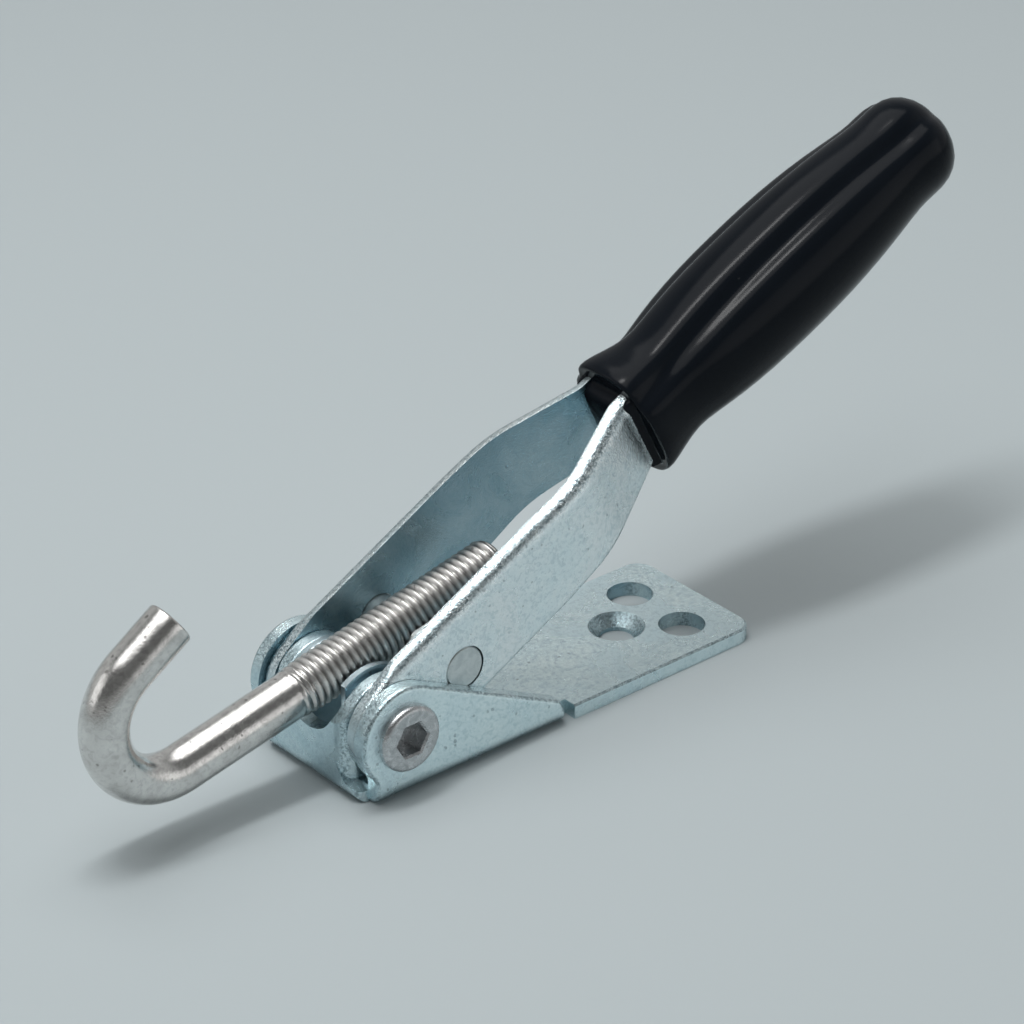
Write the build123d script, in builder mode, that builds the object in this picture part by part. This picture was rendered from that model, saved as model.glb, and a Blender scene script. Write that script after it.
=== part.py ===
from build123d import *
from math import atan2, cos, exp, pi, radians, sin, tan
import os

# Over centre toggle latch.  +X runs back to the fixing holes, the hook reaches towards -X,
# the near side is -Y and +Z is up.  The origin lies on the underside of the base, straight
# below the pivot of the handle.

# ---------------------------------------------------------------- sheet metal of the base
sheet = 3.0                    # thickness of the base blank
bend_inner = 0.3               # inside radius of its folds
base_width = 34.2              # over the outer faces of the two side flanges
tail_width = 33.4              # the flat tail of the base, behind the flanges
tail_rear = 84.6               # its rear edge, measured from the pivot
tail_corner = 4.0              # rounding of its two rear corners
wall_front = -9.5              # outer face of the folded front wall
foot_top = 8.3                 # where the foot of the front wall has swept in to the ears
foot_end = 2.3                 # height of its outer ends, beside the side flanges
foot_sweep = 7.5               # radius of that sweep
relief = 1.0                   # width of the relief cuts where the side folds end
sheet_edge = 0.4               # softened edges of the punched blank
rim_edge = 0.9                 # rounder rim of the side flanges
ear_edge = 0.5                 # rim of the inner ears

# ---------------------------------------------------------------- side flanges
flange_radius = 9.8            # rounded ear of the flange, round the pivot
flange_slope = 26.6            # fall of its top edge, in degrees
flange_rear = 38.6             # foot of its rear end
flange_nose_height = 5.4       # where its top edge turns down at the rear
flange_nose_radius = 2.0
flange_front = -6.8            # front end of its fold
flange_neck = 4.0              # inside radius between that end and the rounded ear

# ---------------------------------------------------------------- inner ears and front wall
ear_inset = 0.6                # rounded end of the inner ears inside that of the flanges
wall_shoulder = 2.2            # front edge of the ears above the pivot
notch_floor = 10.8             # lowest point of the rod notch in the front wall

# ---------------------------------------------------------------- fixing holes
fixing_hole = 9.0              # two plain holes across the tail
fixing_spacing = 15.0
fixing_x = 74.1
screw_hole = 6.6               # countersunk hole on the centre line
screw_hole_head = 11.0         # across its countersink at the top
screw_hole_angle = 90.0        # of the countersink, in degrees
screw_hole_x = 64.2

# ---------------------------------------------------------------- handle pivot
pivot_height = 12.5
slot_clearance = 0.1           # each side of a lever arm in its slot
running_clearance = 0.05       # radial clearance of a turning fit
sleeve_diameter = 11.0         # sleeve of the pivot nut, which the arm turns on
sleeve_end_gap = 0.05          # between the sleeve's end and the side flange
shoulder_diameter = 15.0       # step of the nut against the inner ear
shoulder_share = 0.1           # its length, as a share of the room from an ear to the middle
collar_diameter = 20.0         # round collar of the nut, with two flats
collar_share = 0.2             # its thickness, as a share of the same room
collar_edge = 0.5              # rounding of the collar's rim
collar_flat_gap = 0.15         # from its front flat to the fold in front of it
collar_floor_gap = 0.3         # from its lower flat to the plate
screw_diameter = 8.0
screw_clearance = 0.2          # radial, where the screw passes the side flange
screw_length = 8.0             # under the head
head_diameter = 13.0
head_height = 1.7
head_edge = 1.1                # rounding of the head
socket_lip = 0.35              # bevel round the mouth of the socket
socket_flats = 6.0             # hexagon socket, across flats
socket_depth = 3.4

# ---------------------------------------------------------------- lever arms
arm_sheet = 3.0
arm_crown = 2.8                # rolled rounding of the arm's outer edge along the top
arm_edge = 1.4                 # and round the front end and along the underside
rest_angle = 27.6              # of the arms above the plate, as drawn
arm_end_radius = 9.0           # rounded front end
arm_top = 10.5                 # upper edge, above the line through the pivot
arm_bottom = 9.6               # lower edge, below that line
arm_bottom_start = 14.0        # where the lower edge is full
arm_top_start = 7.0            # where the upper edge is full
arm_taper = 42.0               # where both edges begin to draw in towards the grip
crease = 53.5                  # where the arms turn inwards, from the pivot
crease_length = 18.0
crease_radius = 24.0           # inside radius of that bend
mouth_bend_radius = 3.5        # inside radius of the bend at the mouth of the grip
tang_gap = 8.2                 # between the two arms inside the grip
tang_top = 9.3                 # edges of the arm where it enters the grip
tang_bottom = 7.4
tang_shoulder = 77.0           # where the arm steps down to its tang
tang_length = 144.0            # from the pivot to the end of the tang
tang_half_height = 5.6         # half the height of the tang

# ---------------------------------------------------------------- grip
grip_start = 73.8              # mouth of the grip, from the pivot
grip_rise = 0.3                # its axis above the pivot line at the mouth
grip_droop = 2.1               # its axis falls away from the arms, in degrees
grip_clearance = 0.05          # round the tangs
groove_depth = 1.1             # shallow channel along the top and the underside
groove_half_width = 2.1
groove_full_height = 10.0      # half height of the grip from which the channel is full
mouth_squareness = 0.6         # how much squarer than an ellipse the mouth's section is
mouth_fade = 12.0              # length over which that fades

# ---------------------------------------------------------------- swivel block
swivel_reach = 17.2            # from the handle pivot, along the arm
swivel_drop = 1.5              # below the line through the pivot, across the arm
journal_diameter = 8.3
journal_clearance = 0.2        # radial, round the journal in the arm
journal_chamfer = 0.25
block_diameter = 14.0          # round body between the journals
block_width = 13.0
block_cover = 0.8              # height of the block's flat above the bolt axis

# ---------------------------------------------------------------- hook bolt
rod_angle = 11.9               # of the bolt above the plate, as drawn
rod_offset = 5.3               # bolt axis above the journal axis
thread_side_gap = 0.53         # from the thread to the collars of the nuts
shank_share = 0.91             # diameter of the plain shank, as a share of the thread's
thread_ahead = 28.6            # from the swivel to the first thread, towards the hook
thread_behind = 20.0           # from the swivel to the end of the bolt
thread_chamfer = 0.9
shank_ahead = 53.3             # from the swivel to the start of the hook's bend
hook_radius = 13.2             # bend radius on the centre line
hook_bend = 159.0              # degrees
hook_tip = 11.3                # straight end of the hook
tip_chamfer = 0.6

# ---------------------------------------------------------------- places that follow
bend_outer = bend_inner + sheet
flange_outer = base_width / 2
flange_inner = flange_outer - sheet
fold_line = flange_outer - bend_outer
arm_outer = flange_inner - slot_clearance
arm_inner = arm_outer - arm_sheet
ear_outer = arm_inner - slot_clearance
ear_inner = ear_outer - sheet
ear_fold_line = ear_outer - bend_outer
wall_back = wall_front + sheet
wall_fold = wall_front + bend_outer
tang_inner = tang_gap / 2
tang_outer = tang_inner + arm_sheet
crease_end = crease + crease_length
shoulder_length = shoulder_share * ear_inner
collar_thickness = collar_share * ear_inner
collar_back = ear_inner - shoulder_length
collar_face = collar_back - collar_thickness
sleeve_hole = sleeve_diameter / 2 + running_clearance
notch_radius = ear_inner
thread_radius = collar_face - thread_side_gap
shank_radius = shank_share * thread_radius
ear_radius = flange_radius - ear_inset
tall = pivot_height + flange_radius + sheet     # higher than any part of the base

pivot = Vector(0, 0, pivot_height)
along_arm = Vector(cos(radians(rest_angle)), 0, sin(radians(rest_angle)))
across_arm = Vector(-along_arm.Z, 0, along_arm.X)
along_rod = Vector(cos(radians(rod_angle)), 0, sin(radians(rod_angle)))
across_rod = Vector(-along_rod.Z, 0, along_rod.X)
swivel = pivot + along_arm * swivel_reach - across_arm * swivel_drop
rod_foot = swivel + across_rod * rod_offset

# Side views are drawn on planes that face the near side: local x runs back, local y up.
side = Plane(origin=(0, 0, 0), x_dir=(1, 0, 0), z_dir=(0, -1, 0))
pivot_side = Plane(origin=pivot, x_dir=(1, 0, 0), z_dir=(0, -1, 0))
arm_side = Plane(origin=pivot, x_dir=along_arm, z_dir=(0, -1, 0))
arm_plan = Plane(origin=pivot, x_dir=along_arm, z_dir=across_arm)
swivel_side = Plane(origin=swivel, x_dir=along_rod, z_dir=(0, -1, 0))
rod_side = Plane(origin=rod_foot, x_dir=along_rod, z_dir=(0, -1, 0))
rod_axis = Plane(origin=rod_foot, x_dir=(0, 1, 0), z_dir=along_rod)

os.makedirs("parts", exist_ok=True)

# ================================================================ base plate
# The near side flange: an L section folded up from the plate, cut to its side outline.
slope = radians(flange_slope)
flange_top_x = flange_radius * sin(slope)
flange_top_z = pivot_height + flange_radius * cos(slope)
nose_x = flange_top_x + (flange_top_z - flange_nose_height) / tan(slope)
flange_foot_z = pivot_height - (flange_radius ** 2 - flange_front ** 2) ** 0.5

with BuildPart() as side_flange:
    with BuildSketch(Plane.YZ.offset(-flange_radius)):
        with BuildLine():
            Line((-fold_line, sheet), (-fold_line, 0))
            RadiusArc((-fold_line, 0), (-flange_outer, bend_outer), bend_outer)
            Polyline(
                (-flange_outer, bend_outer),
                (-flange_outer, tall),
                (-flange_inner, tall),
                (-flange_inner, bend_outer),
            )
            RadiusArc((-flange_inner, bend_outer), (-fold_line, sheet), -bend_inner)
        make_face()
    extrude(amount=flange_radius + flange_rear)
    with BuildSketch(side) as flange_outline:
        with BuildLine():
            ThreePointArc(
                (flange_front, flange_foot_z),
                (-flange_radius, pivot_height),
                (flange_top_x, flange_top_z),
            )
            Polyline(
                (flange_top_x, flange_top_z),
                (nose_x, flange_nose_height),
                (flange_rear, 0),
                (flange_front, 0),
                (flange_front, flange_foot_z),
            )
        make_face()
        nose = flange_outline.vertices().sort_by_distance((nose_x, flange_nose_height))[0]
        fillet(nose, radius=flange_nose_radius)
        neck = flange_outline.vertices().sort_by_distance((flange_front, flange_foot_z))[0]
        fillet(neck, radius=flange_neck)
    extrude(amount=base_width, both=True, mode=Mode.INTERSECT)
    flat = side_flange.faces().filter_by(Plane.XZ).sort_by(Axis.Y)[0]
    rim = flat.edges().filter_by(lambda edge: edge.center().Z > bend_outer + sheet_edge)
    fillet(rim, radius=rim_edge)

# The front wall and the two inner ears: one U section, cut to the ears' side outline.
with BuildPart() as front_wall:
    with BuildSketch(Plane.XY.offset(bend_outer)):
        with BuildLine():
            Polyline((0, -ear_outer), (wall_fold, -ear_outer))
            RadiusArc((wall_fold, -ear_outer), (wall_front, -ear_fold_line), bend_outer)
            Line((wall_front, -ear_fold_line), (wall_front, ear_fold_line))
            RadiusArc((wall_front, ear_fold_line), (wall_fold, ear_outer), bend_outer)
            Polyline((wall_fold, ear_outer), (flange_radius, ear_outer), (flange_radius, ear_inner),
                     (wall_fold, ear_inner))
            RadiusArc((wall_fold, ear_inner), (wall_back, ear_fold_line), -bend_inner)
            Line((wall_back, ear_fold_line), (wall_back, -ear_fold_line))
            RadiusArc((wall_back, -ear_fold_line), (wall_fold, -ear_inner), -bend_inner)
            Polyline((wall_fold, -ear_inner), (flange_radius, -ear_inner),
                     (flange_radius, -ear_outer), (0, -ear_outer))
        make_face()
    extrude(amount=tall - bend_outer)
    with BuildSketch(side) as ear_outline:
        with Locations((0, pivot_height)):
            Circle(ear_radius)
        with BuildLine():
            Polyline((wall_front, pivot_height + wall_shoulder), (wall_front, bend_outer),
                     (0, bend_outer))
        make_hull()
    extrude(amount=base_width, both=True, mode=Mode.INTERSECT)
    ear_rims = front_wall.faces().filter_by(Plane.XZ).edges().filter_by(GeomType.CIRCLE)
    fillet(ear_rims, radius=ear_edge)

# The foot of the front wall: the fold from the plate, cut to a sweep that runs out to the
# side flanges.
with BuildPart() as wall_foot:
    with BuildSketch(side):
        with BuildLine():
            Line((wall_fold, sheet), (wall_fold, 0))
            RadiusArc((wall_fold, 0), (wall_front, bend_outer), bend_outer)
            Polyline((wall_front, bend_outer), (wall_front, foot_top), (wall_back, foot_top),
                     (wall_back, bend_outer))
            RadiusArc((wall_back, bend_outer), (wall_fold, sheet), -bend_inner)
        make_face()
    extrude(amount=fold_line, both=True)
    with BuildSketch(Plane.YZ.offset(wall_front)):
        with BuildLine():
            Polyline((fold_line, foot_end), (fold_line, 0), (-fold_line, 0), (-fold_line, foot_end))
            RadiusArc((-fold_line, foot_end), (-ear_fold_line, foot_top), -foot_sweep)
            Line((-ear_fold_line, foot_top), (ear_fold_line, foot_top))
            RadiusArc((ear_fold_line, foot_top), (fold_line, foot_end), -foot_sweep)
        make_face()
    extrude(amount=bend_outer, mode=Mode.INTERSECT)
    with BuildSketch(Plane.XY) as foot_plan:
        with Locations((wall_front, 0)):
            Rectangle(bend_outer, 2 * fold_line, align=(Align.MIN, Align.CENTER))
        fillet(foot_plan.vertices().group_by(Axis.X)[0], radius=flange_front - wall_front)
    extrude(amount=foot_top, mode=Mode.INTERSECT)

# The whole folded blank.
with BuildPart() as base_plate:
    with BuildSketch(Plane.XY) as blank:
        with Locations(((flange_rear + relief + tail_rear) / 2, 0)):
            Rectangle(tail_rear - flange_rear - relief, tail_width)
        fillet(blank.vertices().group_by(Axis.X)[-1], radius=tail_corner)
        with Locations(((wall_fold + flange_rear + relief) / 2, 0)):
            Rectangle(flange_rear + relief - wall_fold, 2 * fold_line)
    extrude(amount=sheet)
    top_rim = base_plate.faces().sort_by(Axis.Z)[-1].edges().filter_by(
        lambda edge: edge.center().X > flange_rear + relief + sheet_edge)
    chamfer(top_rim, length=sheet_edge)
    add(wall_foot.part)
    add(front_wall.part)
    add(side_flange.part)
    mirror(side_flange.part, about=Plane.XZ)
    # the notch that the bolt drops into
    with BuildSketch(Plane.YZ.offset(wall_front)):
        with Locations((0, notch_floor + notch_radius)):
            Circle(notch_radius)
        with Locations((0, notch_floor + notch_radius + tall / 2)):
            Rectangle(2 * notch_radius, tall)
    extrude(amount=bend_outer, mode=Mode.SUBTRACT)
    # holes for the pivot: wide through the ears, narrow through the flanges
    with BuildSketch(pivot_side):
        Circle(screw_diameter / 2 + screw_clearance)
    extrude(amount=base_width, both=True, mode=Mode.SUBTRACT)
    with BuildSketch(pivot_side):
        Circle(sleeve_hole)
    extrude(amount=arm_inner, both=True, mode=Mode.SUBTRACT)
    # fixing holes
    with Locations((fixing_x, 0, sheet)):
        with GridLocations(0, fixing_spacing, 1, 2):
            Hole(fixing_hole / 2, depth=sheet)
    with Locations((screw_hole_x, 0, sheet)):
        CounterSinkHole(screw_hole / 2, screw_hole_head / 2, depth=sheet,
                        counter_sink_angle=screw_hole_angle)

base_plate.part.label = "base_plate"
export_step(base_plate.part, "parts/base_plate.step")

# ================================================================ pivot screws and nuts
with BuildPart() as near_pivot_screw:
    with BuildSketch(pivot_side.offset(flange_outer)):
        Circle(head_diameter / 2)
    extrude(amount=head_height)
    fillet(near_pivot_screw.faces().sort_by(Axis.Y)[0].edges(), radius=head_edge)
    with BuildSketch(pivot_side.offset(flange_outer)):
        Circle(screw_diameter / 2)
    extrude(amount=-screw_length)
    with BuildSketch(pivot_side.offset(flange_outer + head_height)):
        RegularPolygon(socket_flats / 2, 6, major_radius=False)
    extrude(amount=-socket_depth, mode=Mode.SUBTRACT)
    head_face = near_pivot_screw.faces().sort_by(Axis.Y)[0]
    chamfer(head_face.inner_wires()[0].edges(), length=socket_lip)

with BuildPart() as near_pivot_nut:
    with BuildSketch(pivot_side.offset(ear_inner)):
        Circle(sleeve_diameter / 2)
    extrude(amount=flange_inner - sleeve_end_gap - ear_inner)
    for start, diameter, length in (
        (collar_back, shoulder_diameter, shoulder_length),
        (collar_face, collar_diameter, collar_thickness),
    ):
        with BuildSketch(pivot_side.offset(start)):
            Circle(diameter / 2)
            with Locations((wall_fold + collar_flat_gap, sheet + collar_floor_gap - pivot_height)):
                Rectangle(collar_diameter, 2 * collar_diameter, align=(Align.MIN, Align.MIN),
                          mode=Mode.INTERSECT)
        extrude(amount=length)
    collar_rim = near_pivot_nut.faces().sort_by(Axis.Y)[-1].edges()
    fillet(collar_rim, radius=collar_edge)
    with BuildSketch(pivot_side.offset(flange_outer - screw_length)):
        Circle(screw_diameter / 2 + running_clearance)
    extrude(amount=screw_length, mode=Mode.SUBTRACT)

with BuildPart() as far_pivot_screw:
    mirror(near_pivot_screw.part, about=Plane.XZ)

with BuildPart() as far_pivot_nut:
    mirror(near_pivot_nut.part, about=Plane.XZ)

near_pivot_screw.part.label = "near_pivot_screw"
export_step(near_pivot_screw.part, "parts/near_pivot_screw.step")
far_pivot_screw.part.label = "far_pivot_screw"
export_step(far_pivot_screw.part, "parts/far_pivot_screw.step")
near_pivot_nut.part.label = "near_pivot_nut"
export_step(near_pivot_nut.part, "parts/near_pivot_nut.step")
far_pivot_nut.part.label = "far_pivot_nut"
export_step(far_pivot_nut.part, "parts/far_pivot_nut.step")

# ================================================================ lever arms
# Each arm is a flat strip with two bends across it, cut to its side outline.  Inside the
# grip it steps down to a tang that follows the grip's axis.
mouth_depth = tang_shoulder - grip_start
fall = tan(radians(grip_droop))
tang_middle_start = grip_rise - mouth_depth * fall
tang_middle_end = grip_rise - (tang_length - grip_start) * fall
turn = atan2(arm_inner - tang_inner, crease_length)
bend_start = crease - (crease_radius + arm_sheet) * tan(turn / 2)
arm_face_tilt = 5              # a face of the arm leans less than this, in degrees
miter = arm_sheet * tan(turn / 2)
outer_crease = (crease + miter, -arm_outer)
inner_crease = (crease, -arm_inner)
outer_crease_end = (crease_end + miter, -tang_outer)
inner_crease_end = (crease_end, -tang_inner)


def place_on_arm(edge):
    """The middle of an edge in the arm's side view: X along the arm, Y across it."""
    return arm_side.to_local_coords(edge.center())


with BuildPart() as near_lever_arm:
    with BuildSketch(arm_plan) as strip:
        with BuildLine():
            Polyline(
                (-arm_top, -arm_outer),
                outer_crease,
                outer_crease_end,
                (tang_length, -tang_outer),
                (tang_length, -tang_inner),
                inner_crease_end,
                inner_crease,
                (-arm_top, -arm_inner),
                close=True,
            )
        make_face()
        for corner, radius in (
            (inner_crease, crease_radius),
            (outer_crease, crease_radius + arm_sheet),
            (outer_crease_end, mouth_bend_radius),
            (inner_crease_end, mouth_bend_radius + arm_sheet),
        ):
            fillet(strip.vertices().sort_by_distance(corner)[0], radius=radius)
    extrude(amount=tang_length, both=True)
    with BuildSketch(arm_side) as arm_outline:
        Circle(arm_end_radius)
        with BuildLine():
            Polyline((arm_top_start, arm_top), (arm_taper, arm_top), (arm_taper, -arm_bottom),
                     (arm_bottom_start, -arm_bottom))
        make_hull()
        with BuildLine():
            Polyline(
                (arm_taper, arm_top),
                (grip_start, tang_top),
                (tang_shoulder, tang_top),
                (tang_shoulder, tang_middle_start + tang_half_height),
                (tang_length, tang_middle_end + tang_half_height),
                (tang_length, tang_middle_end - tang_half_height),
                (tang_shoulder, tang_middle_start - tang_half_height),
                (tang_shoulder, -tang_bottom),
                (grip_start, -tang_bottom),
                (arm_taper, -arm_bottom),
                close=True,
            )
        make_face()
    extrude(amount=base_width, both=True, mode=Mode.INTERSECT)
    top_faces = near_lever_arm.faces().filter_by(
        lambda face: face.normal_at().dot(across_arm) > cos(radians(arm_face_tilt)))
    outer_faces = near_lever_arm.faces().filter_by(
        lambda face: -face.normal_at().Y > cos(turn + radians(arm_face_tilt)))
    crown = outer_faces.edges().filter_by(
        lambda edge: edge in top_faces.edges() and place_on_arm(edge).X < grip_start)
    fillet(crown, radius=arm_crown)
    flat_side = near_lever_arm.faces().filter_by(Plane.XZ).sort_by(Axis.Y)[0]
    front_and_underside = flat_side.edges().filter_by(
        lambda edge: place_on_arm(edge).Y < 0 and place_on_arm(edge).X < bend_start)
    fillet(front_and_underside, radius=arm_edge)
    with BuildSketch(pivot_side):
        Circle(sleeve_hole)
    extrude(amount=base_width, mode=Mode.SUBTRACT)
    with BuildSketch(swivel_side):
        Circle(journal_diameter / 2 + journal_clearance)
    extrude(amount=base_width, mode=Mode.SUBTRACT)

with BuildPart() as far_lever_arm:
    mirror(near_lever_arm.part, about=Plane.XZ)

near_lever_arm.part.label = "near_lever_arm"
export_step(near_lever_arm.part, "parts/near_lever_arm.step")
far_lever_arm.part.label = "far_lever_arm"
export_step(far_lever_arm.part, "parts/far_lever_arm.step")

# ================================================================ grip
grip_mouth = pivot + along_arm * grip_start + across_arm * grip_rise
along_grip = along_arm * cos(radians(grip_droop)) - across_arm * sin(radians(grip_droop))
grip_axis = Plane(origin=grip_mouth, x_dir=(0, 1, 0), z_dir=along_grip)

# Stations along the grip: distance from the mouth, half width and half height.
grip_stations = (
    (0.0, 10.7, 12.4),
    (1.5, 11.2, 12.8),
    (5.5, 10.6, 11.8),
    (10.5, 10.2, 10.7),
    (15.0, 11.2, 11.4),
    (21.0, 12.3, 12.4),
    (29.0, 13.0, 13.0),
    (38.0, 13.2, 13.2),
    (47.0, 13.1, 13.1),
    (55.0, 12.7, 12.7),
    (63.0, 11.9, 11.9),
    (70.0, 11.0, 11.0),
    (75.0, 10.7, 10.7),
    (79.0, 11.0, 11.0),
    (82.5, 10.2, 10.2),
    (85.5, 7.8, 7.8),
    (87.6, 3.6, 3.6),
)
section_points = 56


def grip_section(distance, half_width, half_height):
    """Points of the grip's section: squarish at the mouth, round further on, with a
    shallow channel between two ridges along the top and along the underside."""
    power = 2 / (2 + mouth_squareness * exp(-((distance / mouth_fade) ** 2)))
    depth = groove_depth * min(1, half_height / groove_full_height)
    points = []
    for step in range(section_points):
        angle = 2 * pi * step / section_points
        across = half_width * abs(cos(angle)) ** power * (1 if cos(angle) > 0 else -1)
        up = half_height * abs(sin(angle)) ** power
        up -= depth * exp(-((across / groove_half_width) ** 2)) * abs(sin(angle))
        points.append((across, up if sin(angle) > 0 else -up))
    return points


with BuildPart() as grip:
    for distance, half_width, half_height in grip_stations:
        with BuildSketch(grip_axis.offset(distance)):
            with BuildLine():
                Spline(*grip_section(distance, half_width, half_height), periodic=True)
            make_face()
    loft()
    # the mouth takes both arms, and a slot behind it takes each tang
    with BuildSketch(arm_plan.offset(-tang_bottom - grip_clearance)):
        with Locations(((grip_start + tang_shoulder) / 2, 0)):
            Rectangle(2 * mouth_depth, 2 * (tang_outer + grip_clearance))
    extrude(amount=tang_top + tang_bottom + 2 * grip_clearance, mode=Mode.SUBTRACT)
    clear_half_height = tang_half_height + grip_clearance
    clear_length = tang_length + grip_clearance
    for start in (tang_inner - grip_clearance, -tang_outer - grip_clearance):
        with BuildSketch(arm_side.offset(start)):
            with BuildLine():
                Polyline(
                    (tang_shoulder, tang_middle_start + clear_half_height),
                    (clear_length, tang_middle_end + clear_half_height),
                    (clear_length, tang_middle_end - clear_half_height),
                    (tang_shoulder, tang_middle_start - clear_half_height),
                    close=True,
                )
            make_face()
        extrude(amount=arm_sheet + 2 * grip_clearance, mode=Mode.SUBTRACT)

grip.part.label = "grip"
export_step(grip.part, "parts/grip.step")

# ================================================================ swivel block
with BuildPart() as swivel_block:
    with BuildSketch(swivel_side):
        Circle(block_diameter / 2)
        with Locations((0, rod_offset + block_cover + block_diameter)):
            Rectangle(2 * block_diameter, 2 * block_diameter, mode=Mode.SUBTRACT)
    extrude(amount=block_width / 2, both=True)
    with BuildSketch(swivel_side):
        Circle(journal_diameter / 2)
    extrude(amount=arm_outer, both=True)
    ends = swivel_block.faces().filter_by(Plane.XZ)
    chamfer([ends.sort_by(Axis.Y)[0].edges(), ends.sort_by(Axis.Y)[-1].edges()],
            length=journal_chamfer)
    with BuildSketch(rod_axis):
        Circle(thread_radius + running_clearance)
    extrude(amount=block_diameter, both=True, mode=Mode.SUBTRACT)

swivel_block.part.label = "swivel_block"
export_step(swivel_block.part, "parts/swivel_block.step")

# ================================================================ hook bolt
with BuildPart() as hook_bolt:
    with BuildLine(rod_side) as hook_line:
        straight = Line((-thread_ahead, 0), (-shank_ahead, 0))
        bend = JernArc(straight @ 1, straight % 1, hook_radius, -hook_bend)
        PolarLine(bend @ 1, hook_tip, direction=bend % 1)
    with BuildSketch(Plane(origin=hook_line.line @ 0, z_dir=hook_line.line % 0)):
        Circle(shank_radius)
    sweep()
    tip_face = hook_bolt.faces().sort_by_distance(hook_line.line @ 1)[0]
    chamfer(tip_face.edges(), length=tip_chamfer)
    with BuildSketch(rod_axis.offset(-thread_ahead)):
        Circle(thread_radius)
    extrude(amount=thread_ahead + thread_behind)
    thread_ends = hook_bolt.edges().filter_by(GeomType.CIRCLE).filter_by(
        lambda edge: abs(edge.radius - thread_radius) < running_clearance)
    chamfer(thread_ends.sort_by_distance(rod_axis.origin + along_rod * thread_behind)[0],
            length=thread_chamfer)
    chamfer(thread_ends.sort_by_distance(rod_axis.origin - along_rod * thread_ahead)[0],
            length=thread_radius - shank_radius - running_clearance)

hook_bolt.part.label = "hook_bolt"
export_step(hook_bolt.part, "parts/hook_bolt.step")
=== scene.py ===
# %% [markdown]
# # Over centre toggle latch
#
# A heavy toggle latch: a folded steel base, a two-armed lever with a dipped plastic grip,
# and a hook bolt that screws through a swivel block.  The engineer's solids arrive as a
# fixed frame, in metres, with +X towards the fixing holes and +Z up.  This notebook dresses
# them: it replaces the pieces whose real surface is finer than the solids (the screw thread
# and the grip) and gives every piece its own procedural finish.

from math import atan2, cos, exp, pi, radians, sin

import bmesh
import bpy
from mathutils import Matrix, Vector


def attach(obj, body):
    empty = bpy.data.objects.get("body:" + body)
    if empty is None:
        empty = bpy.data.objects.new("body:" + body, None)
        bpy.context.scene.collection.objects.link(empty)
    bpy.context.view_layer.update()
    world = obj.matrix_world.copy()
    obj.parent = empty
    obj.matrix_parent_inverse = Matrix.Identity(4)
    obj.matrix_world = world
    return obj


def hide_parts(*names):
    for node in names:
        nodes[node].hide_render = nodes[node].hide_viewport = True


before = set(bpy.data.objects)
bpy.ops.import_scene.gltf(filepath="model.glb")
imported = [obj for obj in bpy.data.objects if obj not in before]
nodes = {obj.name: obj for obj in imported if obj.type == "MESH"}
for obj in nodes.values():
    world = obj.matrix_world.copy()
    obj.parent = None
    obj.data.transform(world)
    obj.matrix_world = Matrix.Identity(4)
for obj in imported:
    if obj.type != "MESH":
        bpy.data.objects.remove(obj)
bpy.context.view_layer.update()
MM = 0.001
print("CAD nodes:", ", ".join(sorted(nodes)))

# %% [markdown]
# ## Camera
# The camera stands well back with a long lens, so that the latch isn't distorted.  It could
# be aimed with a constraint at an empty, but three angles are easier to repeat: the columns
# of its rotation matrix are the right, up and back directions that they give.

# %% Set up the camera
CAMERA_PLACE = Vector((-0.4282, -0.5689, 0.4469))
AZIMUTH, ELEVATION, ROLL = radians(-39.39), radians(29.11), radians(-0.82)
LENS = 161.65

back = Vector((sin(AZIMUTH) * cos(ELEVATION), -cos(AZIMUTH) * cos(ELEVATION), sin(ELEVATION)))
right = Vector((cos(AZIMUTH), sin(AZIMUTH), 0))
up = back.cross(right)
rolled_right = right * cos(ROLL) + up * sin(ROLL)
rolled_up = up * cos(ROLL) - right * sin(ROLL)

camera_data = bpy.data.cameras.new("camera")
camera_data.lens = LENS
camera = bpy.data.objects.new("camera", camera_data)
turn = Matrix((rolled_right, rolled_up, back)).transposed().to_4x4()
camera.matrix_world = Matrix.Translation(CAMERA_PLACE) @ turn
bpy.context.scene.collection.objects.link(camera)
bpy.context.scene.camera = camera
bpy.context.scene.view_settings.view_transform = "Standard"
print("camera looks along", [round(value, 3) for value in -back])

# %% [markdown]
# ## Node helpers
# A material is a small graph of nodes.  It could be wired by hand in the shader editor; in a
# script, a few helpers keep it short.  They add a node with its values or links in one call,
# mix two colours, stretch a value's range, and do one step of arithmetic.

# %% Helpers for shader graphs
def feed(tree, socket, value):
    """Links another node's socket, or writes a plain value."""
    if isinstance(value, bpy.types.NodeSocket):
        tree.links.new(value, socket)
    else:
        socket.default_value = value


def add_node(tree, kind, **inputs):
    """Adds a node.  An input is a plain value, or another node's socket to link."""
    node = tree.nodes.new(kind)
    for name, value in inputs.items():
        feed(tree, node.inputs[name], value)
    return node


def mix_colours(tree, factor, first, second):
    """Blends two colours by a factor.  Each may be a value or a socket."""
    node = tree.nodes.new("ShaderNodeMix")
    node.data_type = "RGBA"
    # A Mix node has sockets for every data type: 0 is the factor, 6 and 7 are the colours.
    for socket, value in ((0, factor), (6, first), (7, second)):
        feed(tree, node.inputs[socket], value)
    return node.outputs[2]


def stretch(tree, value, low, high, to_low=0.0, to_high=1.0):
    """Maps low..high to to_low..to_high and holds the ends."""
    node = tree.nodes.new("ShaderNodeMapRange")
    tree.links.new(value, node.inputs["Value"])
    limits = {"From Min": low, "From Max": high, "To Min": to_low, "To Max": to_high}
    for name, limit in limits.items():
        node.inputs[name].default_value = limit
    return node.outputs["Result"]


def combine(tree, operation, *values):
    """One arithmetic step on values or sockets."""
    node = tree.nodes.new("ShaderNodeMath")
    node.operation = operation
    for socket, value in zip(node.inputs, values):
        feed(tree, socket, value)
    return node.outputs["Value"]


print("helpers for shader graphs are ready")

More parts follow.
